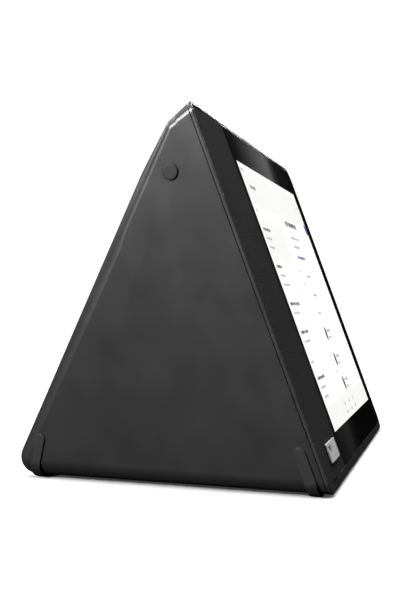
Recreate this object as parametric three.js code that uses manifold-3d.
// A wedge-shaped smart display: a leaning front with a speaker grille at its left end and a
// glass touch screen, on a rear shell that is deepest at its lower left corner.
// Millimetres, +Z up, the front faces -Y, origin at the centre of the underside.
import * as THREE from "three";
import { ConvexGeometry } from "three/addons/geometries/ConvexGeometry.js";
import { mergeVertices } from "three/addons/utils/BufferGeometryUtils.js";
import Module from "manifold-3d";

const wasm = await Module();
wasm.setup();

// Driving dimensions of the body.
const WIDTH = 263.2;
const SLANT = 142.2; // height of the front, measured along it
const LEAN = THREE.MathUtils.degToRad(20.1); // of the front, from upright
const TAPER = THREE.MathUtils.degToRad(18.5); // of the left, top and right sides, from square
const SLAB = 12.5; // depth of the thin part, square to the front
const WALL = 2.2;
const GAP = 0.3; // between neighbouring pieces
const HEEL_DEPTH = 121.2; // of the lower left rear corner before rounding
const SHOULDER_DEPTH = 25.5; // of the upper left rear corner before rounding
const BULGE_END = { x: 246, depth: 13 }; // where the bulge's back runs out at the underside
const FOOT_HEIGHT = 1.1;

// Corner radii.
const TOP_LEFT_RADIUS = 7;
const BOTTOM_LEFT_RADIUS = 5;
const RIGHT_RADIUS = 13;
const TOE_RADIUS = 9; // where the bulge's back runs out at the right end
const CREST_RADIUS = 4; // left end of the edge between the top and the roll behind it
const SHOULDER_RADIUS = 9;
const HEEL_RADIUS = 6.5;
const SLAB_EDGE_RADIUS = 5;
const LEAST_RADIUS = 0.5; // of the corners inside the walls
const BLEND_RADIUS = 16; // of the hollow sweep from the bulge into the thin part
const BLEND_STEPS = 3;
const CROWN_RADIUS = 54; // of the roll from the top into the bulge's back
const CROWN_STEPS = 4;

// Front: rim, speaker grille, glass and the lit area of the screen.
const RIM_DEPTH = 1.25;
const RIM_SIDE = 1.2;
const RIM_BOTTOM = 2.9;
const LEDGE_DEPTH = 0.85; // where the ledge under the glass begins
const LEDGE_INSET = 5; // of the ledge's inner edge
const LINER_DEPTH = 3.2;
const GRILLE_RIGHT = 61.6;
const SEAM = 0.2; // half the gap between the cloth and the glass
const BADGE = { left: 24, right: 50.8, bottom: 8.5, top: 15.6, front: -0.75, back: -0.25 };
const GLASS_THICKNESS = 0.55;
const LIT = { left: 67.5, bottom: 16.2, width: 178, height: 110.8 };
const LCD_BORDER = 3;

// Controls on the sloping top side: centre line, distance behind the front edge, and size.
const CONTROL_LINE = 7;
const BUTTON = { length: 14, width: 3.6, proud: 0.8, travel: 0.6 };
const VOLUME_DOWN_X = 184;
const VOLUME_UP_X = 202;
const MUTE = { x: 221, length: 6, travel: 3 };
const SHUTTER = { x: 248, line: 3.2, length: 4, travel: 6 };
const CAMERA = { x: 241, z: 133.6 };
const MIC_XS = [92, 150];

const PLASTIC = { color: 0x232325, roughness: 0.48, metalness: 0 };
const GLOSS = { color: 0x050506, roughness: 0.06, metalness: 0 };
const CLOTH = { color: 0x1d1d1f, roughness: 0.95, metalness: 0 };
const RUBBER = { color: 0x161617, roughness: 0.8, metalness: 0 };
const STEEL = { color: 0xa8abad, roughness: 0.35, metalness: 1 };
const ALUMINIUM = { color: 0xb9bcbf, roughness: 0.4, metalness: 1 };
const BOARD = { color: 0x17402a, roughness: 0.6, metalness: 0 };
const SCREEN = { color: 0xf2f2f0, roughness: 0.3, metalness: 0 };
const PAPER = { color: 0x2b2b2d, roughness: 0.85, metalness: 0 };
const COPPER = { color: 0xb4703a, roughness: 0.4, metalness: 1 };
const SILVER = { color: 0xd0d0d2, roughness: 0.35, metalness: 0.6 };
const BROWN_FILM = { color: 0x8a5a24, roughness: 0.5, metalness: 0 };
const LENS = { color: 0x0c1016, roughness: 0.05, metalness: 0 };

const device = new THREE.Group();

// Everything is laid out square to the front: x to the right from the left end, y straight
// back from the glass, z up along the front. This group leans it back.
const body = new THREE.Group();
body.rotation.x = -LEAN;
device.add(body);

// The sloping top side has its own frame: x as above, y back down the slope, z out of it.
const roof = new THREE.Group();
roof.position.z = SLANT;
roof.rotation.x = -TAPER;
roof.updateMatrix();
body.add(roof);

function addPiece(name, geometry, look, parent = body) {
  const mesh = new THREE.Mesh(geometry, new THREE.MeshStandardMaterial(look));
  mesh.name = name;
  parent.add(mesh);
  return mesh;
}

function toSolid(geometry) {
  const bare = geometry.clone();
  bare.deleteAttribute("normal");
  bare.deleteAttribute("uv");
  const merged = mergeVertices(bare, 1e-4);
  const mesh = new wasm.Mesh({
    numProp: 3,
    vertProperties: new Float32Array(merged.attributes.position.array),
    triVerts: new Uint32Array(merged.index.array),
  });
  return new wasm.Manifold(mesh);
}

function toGeometry(solid) {
  const mesh = solid.getMesh();
  const geometry = new THREE.BufferGeometry();
  geometry.setAttribute("position", new THREE.BufferAttribute(mesh.vertProperties, 3));
  geometry.setIndex(new THREE.BufferAttribute(mesh.triVerts, 1));
  return geometry;
}

function combine(first, operation, others) {
  return others.reduce((solid, other) => solid[operation](other), first);
}

// A box between two corners.
function box(x0, x1, y0, y1, z0, z1) {
  const geometry = new THREE.BoxGeometry(x1 - x0, y1 - y0, z1 - z0);
  return geometry.translate((x0 + x1) / 2, (y0 + y1) / 2, (z0 + z1) / 2);
}

function boxSolid(...sides) {
  return toSolid(box(...sides));
}

// A flat piece square to the front: an outline in x and z, from depth y0 to y1.
function frontPlate(shape, y0, y1, segments = 6) {
  const geometry = new THREE.ExtrudeGeometry(shape, {
    depth: y1 - y0,
    bevelEnabled: false,
    curveSegments: segments,
  });
  return geometry.rotateX(Math.PI / 2).translate(0, y1, 0);
}

// A rectangle with its own radius at each corner, from the bottom left one round.
function roundedRectangle(x0, x1, z0, z1, [bottomLeft, bottomRight, topRight, topLeft]) {
  const shape = new THREE.Shape();
  shape.absarc(x1 - bottomRight, z0 + bottomRight, bottomRight, -Math.PI / 2, 0);
  shape.absarc(x1 - topRight, z1 - topRight, topRight, 0, Math.PI / 2);
  shape.absarc(x0 + topLeft, z1 - topLeft, topLeft, Math.PI / 2, Math.PI);
  shape.absarc(x0 + bottomLeft, z0 + bottomLeft, bottomLeft, Math.PI, 1.5 * Math.PI);
  return shape;
}

// A round piece about an axis along y, from its half profile of [radius, depth] points.
function turned(profile, x, z, segments = 24) {
  const points = profile.map(([radius, depth]) => new THREE.Vector2(radius, depth));
  const geometry = new THREE.LatheGeometry(points, segments);
  return geometry.translate(x, 0, z);
}

// ---------------------------------------------------------------------------------------
// Body shape: flat sides with rounded edges. A side holds the points p with n.p <= offset.

function side(name, x, y, z, point) {
  const normal = new THREE.Vector3(x, y, z).normalize();
  return { name, normal, offset: normal.dot(point) };
}

const frontCorner = new THREE.Vector3(0, 0, 0);
const farCorner = new THREE.Vector3(WIDTH, 0, SLANT);
const leftSide = side("left", -Math.cos(TAPER), Math.sin(TAPER), 0, frontCorner);
const bottomSide = side("bottom", 0, Math.sin(LEAN), -Math.cos(LEAN), frontCorner);
const topSide = side("top", 0, Math.sin(TAPER), Math.cos(TAPER), farCorner);
const rightSide = side("right", Math.cos(TAPER), Math.sin(TAPER), 0, farCorner);
const aheadSide = side("ahead", 0, -1, 0, new THREE.Vector3(0, -25, 0));
const slabSide = side("slab", 0, 1, 0, new THREE.Vector3(0, SLAB, 0));

function atDepth(depth) {
  return side("depth", 0, 1, 0, new THREE.Vector3(0, depth, 0));
}

// The bulge's sloping back runs from the heel up to the top left and across to the right.
function bulgeBack() {
  const heel = meetingPoint([leftSide, bottomSide, atDepth(HEEL_DEPTH)], 0);
  const shoulder = meetingPoint([leftSide, topSide, atDepth(SHOULDER_DEPTH)], 0);
  const end = new THREE.Vector3(BULGE_END.x, BULGE_END.depth, BULGE_END.depth * Math.tan(LEAN));
  const normal = end.sub(shoulder).cross(heel.clone().sub(shoulder)).normalize();
  return side("bulge", normal.x, normal.y, normal.z, heel);
}

const bulgeSide = bulgeBack();

// Sides that turn from one flat into another along an arc. A negative radius makes it hollow.
function sidesAround(first, second, radius, steps, name) {
  const cosine = first.normal.dot(second.normal);
  const wantFirst = first.offset - radius;
  const wantSecond = second.offset - radius;
  const divisor = 1 - cosine * cosine;
  const centre = first.normal.clone().multiplyScalar((wantFirst - cosine * wantSecond) / divisor);
  centre.addScaledVector(second.normal, (wantSecond - cosine * wantFirst) / divisor);
  const angle = Math.acos(cosine);
  const sides = [];
  for (let step = 1; step < steps; step += 1) {
    const share = step / steps;
    const normal = first.normal.clone().multiplyScalar(Math.sin((1 - share) * angle));
    normal.addScaledVector(second.normal, Math.sin(share * angle)).normalize();
    sides.push({ name, normal, offset: normal.dot(centre) + radius });
  }
  return sides;
}

const crownSides = sidesAround(topSide, bulgeSide, CROWN_RADIUS, CROWN_STEPS, "crown");
const blendSides = sidesAround(slabSide, bulgeSide, -BLEND_RADIUS, BLEND_STEPS, "bulge");

function meetingPoint(sides, inset) {
  const [a, b, c] = sides;
  const divisor = a.normal.dot(b.normal.clone().cross(c.normal));
  if (Math.abs(divisor) < 1e-6) return null;
  const point = b.normal.clone().cross(c.normal).multiplyScalar(a.offset - inset);
  point.addScaledVector(c.normal.clone().cross(a.normal), b.offset - inset);
  point.addScaledVector(a.normal.clone().cross(b.normal), c.offset - inset);
  return point.divideScalar(divisor);
}

function cornerRadius(names) {
  const has = (...wanted) => wanted.every((name) => names.includes(name));
  if (has("left", "top", "ahead")) return TOP_LEFT_RADIUS;
  if (has("left", "bottom", "ahead")) return BOTTOM_LEFT_RADIUS;
  if (has("left", "top")) return CREST_RADIUS;
  if (has("left", "bottom")) return HEEL_RADIUS;
  if (has("left")) return SHOULDER_RADIUS;
  if (has("ahead") && !has("bulge") && !has("crown")) return RIGHT_RADIUS;
  if (has("right", "bulge")) return TOE_RADIUS;
  return SLAB_EDGE_RADIUS;
}

function ballPoints(centre, radius) {
  const points = [];
  const rings = 8;
  const turns = 16;
  for (let ring = 0; ring <= rings; ring += 1) {
    const polar = (Math.PI * ring) / rings;
    const count = ring % rings ? turns : 1;
    for (let turn = 0; turn < count; turn += 1) {
      const around = (2 * Math.PI * (turn + 0.5)) / turns;
      const direction = new THREE.Vector3().setFromSphericalCoords(1, polar, around);
      points.push(direction.multiplyScalar(radius).add(centre));
    }
  }
  return points;
}

// Points of the convex body within the given sides. Each corner is a ball that touches its three sides,
// grown by swell, or shrunk where swell is negative.
function wedgePoints(backs, swell) {
  const sides = [leftSide, bottomSide, topSide, rightSide, aheadSide, ...backs];
  const points = [];
  for (let i = 0; i < sides.length; i += 1) {
    for (let j = i + 1; j < sides.length; j += 1) {
      for (let k = j + 1; k < sides.length; k += 1) {
        const three = [sides[i], sides[j], sides[k]];
        const corner = meetingPoint(three, 0);
        if (!corner) continue;
        if (sides.some((one) => one.normal.dot(corner) > one.offset + 1e-6)) continue;
        const radius = cornerRadius(three.map((one) => one.name));
        const rounding = Math.max(radius + swell, LEAST_RADIUS);
        points.push(...ballPoints(meetingPoint(three, rounding - swell), rounding));
      }
    }
  }
  return points;
}

function hull(points) {
  return toSolid(new ConvexGeometry(points));
}

// The whole rounded body, swollen or shrunk, from the depth y0 backwards. The blends stay
// inside the hull of the two parts that they join.
function bodySolid(swell, y0, y1 = 200) {
  const thinPart = wedgePoints([slabSide], swell);
  const bulge = wedgePoints([...crownSides, bulgeSide], swell);
  const blends = blendSides.map((one) => hull(wedgePoints([one], swell)));
  const bare = combine(hull(thinPart), "add", [hull(bulge), ...blends]);
  const whole = bare.intersect(hull([...thinPart, ...bulge]));
  return whole.intersect(boxSolid(-20, WIDTH + 20, y0, y1, -20, SLANT + 20));
}

// ---------------------------------------------------------------------------------------
// Casing.

const outer = bodySolid(0, RIM_DEPTH + GAP);
const hollow = bodySolid(-WALL, -1);

// Power inlet: a pocket in the bulge's back, with a round hole for the socket's mouth.
const INLET = { x: 150, height: 15, mouthY: 42, pocket: 13, hole: 7.4 };
const upright = new THREE.Matrix4().makeRotationX(LEAN);

// A box given in the level frame, with its own height above the underside.
function levelBox(...sides) {
  return toSolid(box(...sides).applyMatrix4(upright));
}

function levelTube(radius, y0, y1, segments = 16) {
  const geometry = new THREE.CylinderGeometry(radius, radius, y1 - y0, segments);
  geometry.translate(INLET.x, (y0 + y1) / 2, INLET.height);
  return geometry.applyMatrix4(upright);
}

function inletPocket(grow) {
  const half = INLET.pocket / 2 + grow;
  const [low, high] = [INLET.height - half, INLET.height + half];
  return levelBox(INLET.x - half, INLET.x + half, INLET.mouthY - grow, 90, low, high);
}

function roofBox(x0, x1, y0, y1, z0, z1) {
  return toSolid(box(x0, x1, y0, y1, z0, z1).applyMatrix4(roof.matrix));
}

function buttonHole(x) {
  const half = BUTTON.length / 2 + GAP;
  const wide = BUTTON.width / 2 + GAP;
  return roofBox(x - half, x + half, CONTROL_LINE - wide, CONTROL_LINE + wide, -4, 4);
}

// A slot for a slide whose middle travels from x to x + travel.
function slideHole(x, slide, line, width) {
  const ends = slide.length / 2 + GAP;
  return roofBox(x - ends, x + slide.travel + ends, line - width / 2, line + width / 2, -4, 4);
}

function rearShell() {
  const walls = outer.subtract(hollow);
  const pocket = inletPocket(1.8).intersect(bodySolid(-0.1, 5));
  const cuts = [
    inletPocket(0),
    toSolid(levelTube(INLET.hole / 2, INLET.mouthY - 6, INLET.mouthY + 6)),
    buttonHole(VOLUME_DOWN_X),
    buttonHole(VOLUME_UP_X),
    slideHole(MUTE.x, MUTE, CONTROL_LINE, 3.2),
    slideHole(SHUTTER.x - SHUTTER.travel, SHUTTER, SHUTTER.line, 2.2),
  ];
  for (const x of MIC_XS) {
    const hole = new THREE.CylinderGeometry(0.6, 0.6, 8, 8).rotateX(Math.PI / 2);
    cuts.push(toSolid(hole.translate(x, CONTROL_LINE, 0).applyMatrix4(roof.matrix)));
  }
  return toGeometry(combine(walls.add(pocket), "subtract", cuts));
}

function windowPlate(x0, x1, z0, z1, radii, y0, y1) {
  return toSolid(frontPlate(roundedRectangle(x0, x1, z0, z1, radii), y0, y1));
}

// Screws that hold the chassis to the frame and the main board to the chassis.
const CHASSIS = { y0: 4.6, y1: 5.6, x0: 60.2, x1: 258, z0: 8.6, z1: 129.4 };
const BOARD_PLATE = { y0: 7.4, y1: 8.8, x0: 75, x1: 165, z0: 14, z1: 62 };
const SCREW_ROWS = [24, 112];
const CHASSIS_SCREWS = [...SCREW_ROWS.map((z) => [62.1, z]), ...SCREW_ROWS.map((z) => [256, z])];
const BOARD_SCREWS = [[79, 18], [161, 18], [79, 58], [161, 58]];
const SCREW = { head: 1.7, headHeight: 0.9, shank: 0.75, bore: 1.05, boss: 1.7 };

function upTube(radius, x, z, y0, y1, segments = 12) {
  const geometry = new THREE.CylinderGeometry(radius, radius, y1 - y0, segments);
  return toSolid(geometry.translate(x, (y0 + y1) / 2, z));
}

// The rim around the front, with a liner that reaches into the shell and a rib behind the
// seam between the grille and the glass.
function frontFrame() {
  const ring = bodySolid(0, 0, RIM_DEPTH);
  const liner = bodySolid(-WALL - GAP, RIM_DEPTH - 0.2, LINER_DEPTH);
  const inset = LEDGE_INSET;
  const opening = windowPlate(
    RIM_SIDE, WIDTH - RIM_SIDE, RIM_BOTTOM, SLANT - RIM_SIDE, [5, 7.8, 7.8, 8.8], -1, LEDGE_DEPTH,
  );
  const middle = windowPlate(
    inset, WIDTH - inset, inset + 0.9, SLANT - inset, [3, 4.5, 4.5, 5.5], 0.5, LINER_DEPTH + 1,
  );
  const [ribLeft, ribRight] = [GRILLE_RIGHT - 1, GRILLE_RIGHT + 1.6];
  const rib = boxSolid(ribLeft, ribRight, LEDGE_DEPTH, LINER_DEPTH, 4, SLANT - 4.5);
  const middleX = SHUTTER.x - SHUTTER.travel / 2;
  const [wayLeft, wayRight] = [middleX - 9, middleX + 9];
  const shutterWay = boxSolid(wayLeft, wayRight, RIM_DEPTH, LINER_DEPTH + 1, SLANT - 6, SLANT);
  const bossEnd = CHASSIS.y0 - GAP;
  const bosses = CHASSIS_SCREWS.map(([x, z]) => upTube(SCREW.boss, x, z, LEDGE_DEPTH, bossEnd));
  const webs = SCREW_ROWS.map((z) => boxSolid(256, WIDTH - 4, LEDGE_DEPTH, 3, z - 1.2, z + 1.2));
  const bores = CHASSIS_SCREWS.map(([x, z]) => upTube(SCREW.bore, x, z, RIM_DEPTH + 0.4, 9));
  const frame = combine(ring.add(liner), "subtract", [opening, middle, shutterWay]).add(rib);
  return toGeometry(combine(combine(frame, "add", [...bosses, ...webs]), "subtract", bores));
}

// ---------------------------------------------------------------------------------------
// Front: glass, fabric, badge and the display behind the glass.

function grilleFabric() {
  const [left, right] = [RIM_SIDE + GAP, GRILLE_RIGHT - SEAM];
  const [low, high] = [RIM_BOTTOM + GAP, SLANT - RIM_SIDE - GAP];
  return frontPlate(roundedRectangle(left, right, low, high, [4.7, 0.6, 0.6, 8.5]), 0.05, 0.5);
}

function touchGlass() {
  const [left, right] = [GRILLE_RIGHT + SEAM, WIDTH - RIM_SIDE - GAP];
  const [low, high] = [RIM_BOTTOM + GAP, SLANT - RIM_SIDE - GAP];
  const shape = roundedRectangle(left, right, low, high, [0.6, 7.5, 7.5, 0.6]);
  return frontPlate(shape, 0, GLASS_THICKNESS);
}

// A moulded plate with rows of openings behind the fabric.
function grillePlate() {
  const inset = LEDGE_INSET + GAP;
  const [left, right, low, high] = [inset, GRILLE_RIGHT - 1.3, inset + 0.9, SLANT - inset];
  const shape = roundedRectangle(left, right, low, high, [2.7, 0.8, 0.8, 5.2]);
  const [columns, rows, bar] = [3, 12, 2.6];
  const [pitchX, pitchZ] = [(right - left - 2 * bar) / columns, (high - low - 4 * bar) / rows];
  const openings = [];
  for (let column = 0; column < columns; column += 1) {
    for (let row = 0; row < rows; row += 1) {
      const x = left + 1.5 * bar + column * pitchX;
      const z = low + 2.5 * bar + row * pitchZ;
      openings.push(boxSolid(x, x + pitchX - bar, 0, 4, z, z + pitchZ - bar));
    }
  }
  return toGeometry(combine(toSolid(frontPlate(shape, LEDGE_DEPTH, 2.35)), "subtract", openings));
}

function litBox(border, y0, y1) {
  const [x, z] = [LIT.left - border, LIT.bottom - border];
  return box(x, x + LIT.width + 2 * border, y0, y1, z, z + LIT.height + 2 * border);
}

function chassisPlate() {
  const { y0, y1, x0, x1, z0, z1 } = CHASSIS;
  const shape = roundedRectangle(x0, x1, z0, z1, [1, 3, 3, 1]);
  const plate = toSolid(frontPlate(shape, y0, y1));
  const pillars = BOARD_SCREWS.map(([x, z]) => upTube(2.4, x, z, y1 - 0.2, BOARD_PLATE.y0 - GAP));
  const screws = [...BOARD_SCREWS, ...CHASSIS_SCREWS];
  const holes = screws.map(([x, z]) => upTube(SCREW.bore, x, z, y0 - 1, 9));
  const folds = [
    boxSolid(x0 + 4, x1 - 8, y1 - 0.2, y1 + 1.2, z1 - 1.2, z1),
    boxSolid(x1 - 3.4, x1 - 2.4, y1 - 0.2, y1 + 1.2, z0 + 24, z1 - 26),
  ];
  return toGeometry(combine(combine(plate, "add", [...pillars, ...folds]), "subtract", holes));
}

addPiece("front_frame", frontFrame(), PLASTIC);
addPiece("rear_shell", rearShell(), PLASTIC);
addPiece("grille_fabric", grilleFabric(), CLOTH);
addPiece("grille_plate", grillePlate(), PLASTIC);
addPiece("touch_glass", touchGlass(), GLOSS);
addPiece(
  "badge", box(BADGE.left, BADGE.right, BADGE.front, BADGE.back, BADGE.bottom, BADGE.top), SILVER,
);
addPiece("lcd_cell", litBox(LCD_BORDER, LEDGE_DEPTH, 1.7), SCREEN);
addPiece("backlight_unit", litBox(LCD_BORDER + 0.5, 2, 4.2), ALUMINIUM);
addPiece("chassis_plate", chassisPlate(), STEEL);

// ---------------------------------------------------------------------------------------
// Electronics on the back of the chassis.

function mainBoard() {
  const { y0, y1, x0, x1, z0, z1 } = BOARD_PLATE;
  const holes = BOARD_SCREWS.map(([x, z]) => upTube(SCREW.bore, x, z, y0 - 1, y1 + 1));
  return toGeometry(combine(boxSolid(x0, x1, y0, y1, z0, z1), "subtract", holes));
}

const HEAT_SINK = { x0: 82, x1: 118, z0: 19, z1: 51, y0: 11.6, base: 1.6, y1: 20, fins: 7, fin: 1.2 };

function heatSink() {
  const { x0, x1, z0, z1, y0, base: thick, y1, fins: count, fin } = HEAT_SINK;
  const base = boxSolid(x0, x1, y0, y0 + thick, z0, z1);
  const pitch = (x1 - x0 - fin) / (count - 1);
  const fins = [];
  for (let index = 0; index < count; index += 1) {
    const x = x0 + index * pitch;
    fins.push(boxSolid(x, x + fin, y0 + thick - 0.2, y1, z0, z1));
  }
  return toGeometry(combine(base, "add", fins));
}

// A ribbon cable: a flat strip that follows a path of [depth, height] points.
function ribbon(path, x0, x1, thickness = 0.3) {
  const shape = new THREE.Shape();
  const sides = [path, []];
  path.forEach(([y, z], index) => {
    const [y0, z0] = path[Math.max(index - 1, 0)];
    const [y1, z1] = path[Math.min(index + 1, path.length - 1)];
    const length = Math.hypot(y1 - y0, z1 - z0);
    const share = index && index < path.length - 1 ? Math.SQRT2 : 1;
    const reach = (thickness * share) / length;
    sides[1].push([y - reach * (z1 - z0), z + reach * (y1 - y0)]);
  });
  [...sides[0], ...sides[1].reverse()].forEach(([y, z], index) => {
    if (index) shape.lineTo(y, z);
    else shape.moveTo(y, z);
  });
  const geometry = new THREE.ExtrudeGeometry(shape, { depth: x1 - x0, bevelEnabled: false });
  geometry.applyMatrix4(new THREE.Matrix4().makeBasis(
    new THREE.Vector3(0, 1, 0), new THREE.Vector3(0, 0, 1), new THREE.Vector3(1, 0, 0),
  ));
  return geometry.translate(x0, 0, 0);
}

// A round cable through points [x, depth, height].
function cable(points, radius) {
  const curve = new THREE.CatmullRomCurve3(points.map((point) => new THREE.Vector3(...point)));
  const section = new THREE.Shape();
  section.absarc(0, 0, radius, 0, 2 * Math.PI);
  return new THREE.ExtrudeGeometry(section, { steps: 18, curveSegments: 8, extrudePath: curve });
}

addPiece("main_board", mainBoard(), BOARD);
addPiece("processor_shield", box(86, 114, 9.1, 11.3, 22, 48), STEEL);
addPiece("heat_sink", heatSink(), ALUMINIUM);
addPiece("wireless_module", box(124, 140, 9.1, 11.1, 24, 40), STEEL);
const displayPath = [[3.1, 12.2], [3.1, 7.6], [9.6, 7.6], [9.6, 15]];
const touchPath = [[1.3, 11.8], [1.3, 6.9], [10.4, 6.9], [10.4, 15]];
addPiece("display_ribbon", ribbon(displayPath, 126, 146), BROWN_FILM);
addPiece("touch_ribbon", ribbon(touchPath, 100, 110), BROWN_FILM);
addPiece("wireless_antenna", box(196, 232, 8.8, 9.3, 98, 110), COPPER);
addPiece("spare_antenna", box(196, 208, 8.8, 9.3, 40, 76), COPPER);

function screwProfile(y) {
  const { head, headHeight, shank } = SCREW;
  const [end, top] = [y - 3, y + headHeight];
  return [[0, end], [shank, end], [shank, y], [head, y], [head, top], [0, top]];
}

CHASSIS_SCREWS.forEach(([x, z], index) => {
  addPiece(`chassis_screw_${index + 1}`, turned(screwProfile(CHASSIS.y1 + GAP), x, z, 12), STEEL);
});
BOARD_SCREWS.forEach(([x, z], index) => {
  addPiece(`board_screw_${index + 1}`, turned(screwProfile(BOARD_PLATE.y1 + GAP), x, z, 12), STEEL);
});

// ---------------------------------------------------------------------------------------
// Power inlet: a barrel socket behind the pocket's wall, with its centre pin.

function powerSocket() {
  const { x, height, mouthY } = INLET;
  const front = mouthY - 1.8 - GAP;
  const casing = levelBox(x - 4.5, x + 4.5, front - 13, front, height - 5.5, height + 5.5);
  const bore = toSolid(levelTube(2.9, front - 10, front + 1));
  const pin = toSolid(levelTube(0.9, front - 11, front - 1, 8));
  return toGeometry(casing.subtract(bore).add(pin));
}

addPiece("power_socket", powerSocket(), GLOSS);

// ---------------------------------------------------------------------------------------
// Loudspeaker: a sealed box in the bulge with a driver and a passive radiator.

const SPEAKER = { x: 33, z: 46, radius: 25, hole: 22.4 };
const RADIATOR = { x: 32, z: 101, radius: 25, hole: 21.4 };
const SPEAKER_BOX = { clear: 1.2, wall: 1.8, y0: 4, y1: 62, x1: 57.6 };

function speakerBox() {
  const { clear, wall, y0, y1, x1 } = SPEAKER_BOX;
  const shell = bodySolid(-WALL - clear, y0, y1).intersect(boxSolid(0, x1, -5, 200, 0, SLANT));
  const space = bodySolid(-WALL - clear - wall, y0 + wall, y1 - wall)
    .intersect(boxSolid(0, x1 - wall, -5, 200, 0, SLANT));
  const drivers = [SPEAKER, RADIATOR];
  const holes = drivers.map(({ x, z, hole }) => upTube(hole, x, z, y0 - 1, y0 + wall + 1, 24));
  return toGeometry(combine(shell.subtract(space), "subtract", holes));
}

const basketProfile = [
  [SPEAKER.radius, 2.9], [SPEAKER.radius, 3.7], [21.8, 3.7], [16.5, 18.5], [9, 18.5], [9, 17.3],
  [15.6, 17.3], [20.8, 3.5], [20.8, 2.9], [SPEAKER.radius, 2.9],
];
const magnetProfile = [[8.6, 18.8], [15, 18.8], [15, 27], [8.6, 27], [8.6, 18.8]];
const yokeProfile = [[0, 18.9], [6.6, 18.9], [6.6, 27.3], [15, 27.3], [15, 29.6], [0, 29.6]];
const coneProfile = [
  [18.6, 4.2], [18.6, 4.9], [7.9, 14.4], [7.9, 24], [7.1, 24], [7.1, 13.4], [17.9, 4.2], [18.6, 4.2],
];
const surroundProfile = [[19, 4.3], [19, 3.8], [19.6, 3.1], [20.1, 3.1], [20.1, 4.3], [19, 4.3]];
const spiderProfile = [[8.4, 15.9], [15.2, 15.9], [15.2, 16.5], [8.4, 16.5], [8.4, 15.9]];
const capProfile = [[0, 7.6], [3.4, 7.9], [6.2, 9], [8, 10.6], [8, 11.4], [6, 9.8], [3.2, 8.6], [0, 8.3]];
const radiatorFrameProfile = [
  [RADIATOR.radius, 2.9], [RADIATOR.radius, 3.7], [21, 3.7], [21, 7], [20.2, 7], [20.2, 2.9],
  [RADIATOR.radius, 2.9],
];
const radiatorSurroundProfile = [[18.4, 5], [18.4, 4.4], [19.1, 3.4], [19.9, 3.4], [19.9, 5], [18.4, 5]];
const radiatorProfile = [[0, 4.2], [18, 4.2], [18, 5.4], [8, 5.4], [8, 8], [0, 8]];

addPiece("speaker_box", speakerBox(), PLASTIC);
addPiece("driver_basket", turned(basketProfile, SPEAKER.x, SPEAKER.z), STEEL);
addPiece("driver_magnet", turned(magnetProfile, SPEAKER.x, SPEAKER.z), PAPER);
addPiece("driver_yoke", turned(yokeProfile, SPEAKER.x, SPEAKER.z), STEEL);
addPiece("driver_cone", turned(coneProfile, SPEAKER.x, SPEAKER.z), PAPER);
addPiece("driver_dust_cap", turned(capProfile, SPEAKER.x, SPEAKER.z), PAPER);
addPiece("driver_surround", turned(surroundProfile, SPEAKER.x, SPEAKER.z), RUBBER);
addPiece("driver_spider", turned(spiderProfile, SPEAKER.x, SPEAKER.z), COPPER);
addPiece("radiator_frame", turned(radiatorFrameProfile, RADIATOR.x, RADIATOR.z), STEEL);
addPiece("radiator_surround", turned(radiatorSurroundProfile, RADIATOR.x, RADIATOR.z), RUBBER);
addPiece("radiator_plate", turned(radiatorProfile, RADIATOR.x, RADIATOR.z), PAPER);
addPiece("speaker_cable", cable([[59, 12, 40], [64, 12.4, 39], [70, 11, 36], [80, 10, 32]], 0.8), RUBBER);

// ---------------------------------------------------------------------------------------
// Controls on the top side.

const FLANGE = { top: -2.6, bottom: -3.6 };

function volumeButton(x) {
  const half = BUTTON.length / 2;
  const wide = BUTTON.width / 2;
  const line = CONTROL_LINE;
  const cap = boxSolid(x - half, x + half, line - wide, line + wide, FLANGE.bottom, BUTTON.proud);
  const reach = half + 0.9;
  const [near, far] = [line - 2.2, line + 2.2];
  const flange = boxSolid(x - reach, x + reach, near, far, FLANGE.bottom, FLANGE.top);
  return toGeometry(cap.add(flange));
}

function muteSlide() {
  const [half, line] = [MUTE.length / 2, CONTROL_LINE];
  const cap = boxSolid(MUTE.x - half, MUTE.x + half, line - 1.3, line + 1.3, FLANGE.bottom, 0.7);
  const [left, right] = [MUTE.x - half - 2, MUTE.x + half + 2];
  const flange = boxSolid(left, right, line - 2.1, line + 2.1, FLANGE.bottom, FLANGE.top);
  return toGeometry(cap.add(flange));
}

// The shutter: a thumb tab on the top side and a blade that hides the lens from the glass.
function cameraShutter() {
  const [half, line] = [SHUTTER.length / 2, SHUTTER.line];
  const tab = roofBox(SHUTTER.x - half, SHUTTER.x + half, line - 0.7, line + 0.7, -3.6, 0.7);
  const arm = boxSolid(SHUTTER.x - half, SHUTTER.x + half, 1.55, 1.95, 131.2, 139);
  const blade = boxSolid(SHUTTER.x - 3.6, SHUTTER.x + 4.4, 1.55, 1.95, 131.2, 136.4);
  return toGeometry(tab.add(arm).add(blade));
}

addPiece("volume_down_button", volumeButton(VOLUME_DOWN_X), PLASTIC, roof);
addPiece("volume_up_button", volumeButton(VOLUME_UP_X), PLASTIC, roof);
addPiece("mic_mute_slide", muteSlide(), PLASTIC, roof);
addPiece("camera_shutter", cameraShutter(), PLASTIC);
addPiece("control_board", box(173, 233, 4.6, 9.6, -7.4, -6.4), BOARD, roof);
for (const [name, x] of [["volume_down_switch", VOLUME_DOWN_X], ["volume_up_switch", VOLUME_UP_X]]) {
  addPiece(name, box(x - 2, x + 2, 5, 9, -6.1, -4.5), STEEL, roof);
}
addPiece("mute_switch", box(216.5, 228.5, 5.2, 8.8, -6.1, -3.9), STEEL, roof);
MIC_XS.forEach((x, index) => {
  addPiece(`microphone_${index + 1}`, box(x - 2, x + 2, 5.2, 8.8, -4, -2.6), STEEL, roof);
});

function cameraModule() {
  const { x, z } = CAMERA;
  const block = boxSolid(x - 4, x + 4, 4, 7, z - 2.9, z + 2.9);
  return toGeometry(block.add(upTube(2.7, x, z, 3.2, 4.2, 16)));
}

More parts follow.
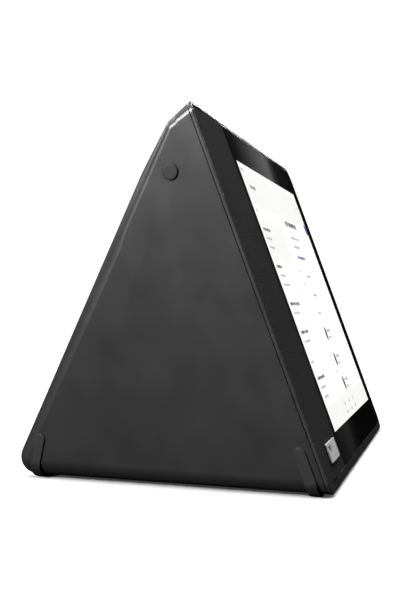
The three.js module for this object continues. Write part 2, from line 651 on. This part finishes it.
addPiece("camera_module", cameraModule(), PLASTIC);
const lensProfile = [[0, 2.3], [1.2, 2.4], [1.8, 2.7], [1.8, 2.9], [0, 2.9]];
addPiece("camera_lens", turned(lensProfile, CAMERA.x, CAMERA.z), LENS);

// ---------------------------------------------------------------------------------------
// Rubber feet. Two strips wrap from the underside up the left side, one bar stands under the
// right end, and a round pad sits near the top of the left side for standing upright on it.

const STICK_OUT = 0.25; // where a foot begins, out from the shell's surface
const STRIP_TOP = 16;
const PAD = { radius: 3.1, depth: 15.2, height: 122.1, proud: 0.7 };

// A band of the swollen body between two parallel sides, below STRIP_TOP and left of x1.
function wrapFoot(direction, near, far, x1) {
  const skin = bodySolid(FOOT_HEIGHT, -1).subtract(bodySolid(STICK_OUT, -2));
  const band = toSolid(box(-400, 400, near, far, -400, 400).applyMatrix4(turnTo(direction)));
  const reach = levelBox(-20, x1, -20, 200, -20, STRIP_TOP);
  return toGeometry(skin.intersect(band).intersect(reach));
}

// The turn that carries +Y onto a direction.
function turnTo(direction) {
  const turn = new THREE.Quaternion().setFromUnitVectors(new THREE.Vector3(0, 1, 0), direction);
  return new THREE.Matrix4().makeRotationFromQuaternion(turn);
}

const rearBand = new THREE.Vector3(0.44, 0.85, 0.3).normalize().applyMatrix4(upright);

function barFoot(x0, x1, y0, y1) {
  return toGeometry(levelBox(x0, x1, y0, y1, -FOOT_HEIGHT, -STICK_OUT));
}

function sidePad() {
  const pad = new THREE.CylinderGeometry(PAD.radius, PAD.radius, PAD.proud - STICK_OUT, 24);
  pad.applyMatrix4(turnTo(leftSide.normal));
  const level = side("level", 0, 0, 1, new THREE.Vector3(0, 0, PAD.height));
  const middle = meetingPoint([leftSide, atDepth(PAD.depth), level], 0);
  middle.addScaledVector(leftSide.normal, (PAD.proud + STICK_OUT) / 2);
  return pad.translate(middle.x, middle.y, middle.z);
}

addPiece("front_left_foot", wrapFoot(new THREE.Vector3(0, 1, 0), 3.6, 8, 26), RUBBER);
addPiece("rear_left_foot", wrapFoot(rearBand, 111.4, 115.6, 64), RUBBER);
addPiece("right_foot", barFoot(218, 244, 3.4, 8), RUBBER);
addPiece("side_pad", sidePad(), RUBBER);

// Stand the whole on its feet with its middle over the origin.
body.position.set(0, 0, 0);
device.updateMatrixWorld(true);
const extent = new THREE.Box3().setFromObject(device, true);
const middle = extent.getCenter(new THREE.Vector3());
body.position.set(-middle.x, -middle.y, -extent.min.z);

export default device;
